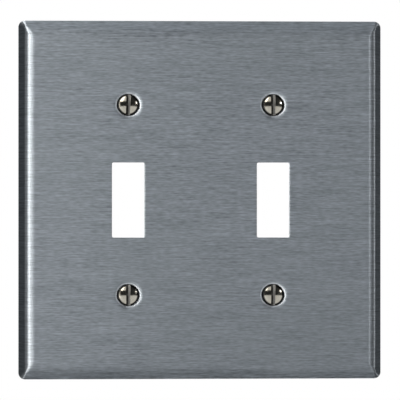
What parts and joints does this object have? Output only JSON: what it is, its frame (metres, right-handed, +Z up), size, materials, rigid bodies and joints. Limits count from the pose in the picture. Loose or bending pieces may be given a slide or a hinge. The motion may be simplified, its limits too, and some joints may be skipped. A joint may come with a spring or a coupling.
{
  "type": "two-gang toggle switch wall plate",
  "caption": "Brushed stainless steel cover plate for a pair of toggle wall switches, with sloping sides, rectangular toggle openings and oval-head screws in pressed dimples.",
  "frame": {"origin": "middle of the rear rim, on the wall's surface", "axes": "+Z up, +X to the right as seen from the front, -Y out of the wall towards the viewer"},
  "size_m": [0.1158, 0.014, 0.1142],
  "materials": {
    "brushed_stainless": "satin, brushed side to side",
    "bright_nickel": "bright nickel plate on steel",
    "fibre": "vulcanised fibre sheet"
  },
  "bodies": {
    "plate": {"wall_plate": "brushed_stainless"},
    "washer_upper_left": {"washer_upper_left": "fibre"},
    "screw_upper_left": {"screw_upper_left": "bright_nickel"},
    "washer_upper_right": {"washer_upper_right": "fibre"},
    "screw_upper_right": {"screw_upper_right": "bright_nickel"},
    "washer_lower_left": {"washer_lower_left": "fibre"},
    "screw_lower_left": {"screw_lower_left": "bright_nickel"},
    "washer_lower_right": {"washer_lower_right": "fibre"},
    "screw_lower_right": {"screw_lower_right": "bright_nickel"}
  },
  "joints": [
    {"name": "advance_upper_left", "type": "slide", "parent": "plate", "child": "washer_upper_left", "axis": [0, -1, 0], "range_m": [0, 0.00159]},
    {"name": "turn_upper_left", "type": "hinge", "parent": "washer_upper_left", "child": "screw_upper_left", "pos_m": [-0.02301, 0, 0.03016], "axis": [0, -1, 0], "range_deg": [0, 720]},
    {"name": "advance_upper_right", "type": "slide", "parent": "plate", "child": "washer_upper_right", "axis": [0, -1, 0], "range_m": [0, 0.00159]},
    {"name": "turn_upper_right", "type": "hinge", "parent": "washer_upper_right", "child": "screw_upper_right", "pos_m": [0.02301, 0, 0.03016], "axis": [0, -1, 0], "range_deg": [0, 720]},
    {"name": "advance_lower_left", "type": "slide", "parent": "plate", "child": "washer_lower_left", "axis": [0, -1, 0], "range_m": [0, 0.00159]},
    {"name": "turn_lower_left", "type": "hinge", "parent": "washer_lower_left", "child": "screw_lower_left", "pos_m": [-0.02301, 0, -0.03016], "axis": [0, -1, 0], "range_deg": [0, 720]},
    {"name": "advance_lower_right", "type": "slide", "parent": "plate", "child": "washer_lower_right", "axis": [0, -1, 0], "range_m": [0, 0.00159]},
    {"name": "turn_lower_right", "type": "hinge", "parent": "washer_lower_right", "child": "screw_lower_right", "pos_m": [0.02301, 0, -0.03016], "axis": [0, -1, 0], "range_deg": [0, 720]}
  ],
  "couplings": [
    {"joint": "turn_upper_left", "follows": "advance_upper_left", "rad_per_m": 7915.8},
    {"joint": "turn_upper_right", "follows": "advance_upper_right", "rad_per_m": 7915.8},
    {"joint": "turn_lower_left", "follows": "advance_lower_left", "rad_per_m": 7915.8},
    {"joint": "turn_lower_right", "follows": "advance_lower_right", "rad_per_m": 7915.8}
  ]
}
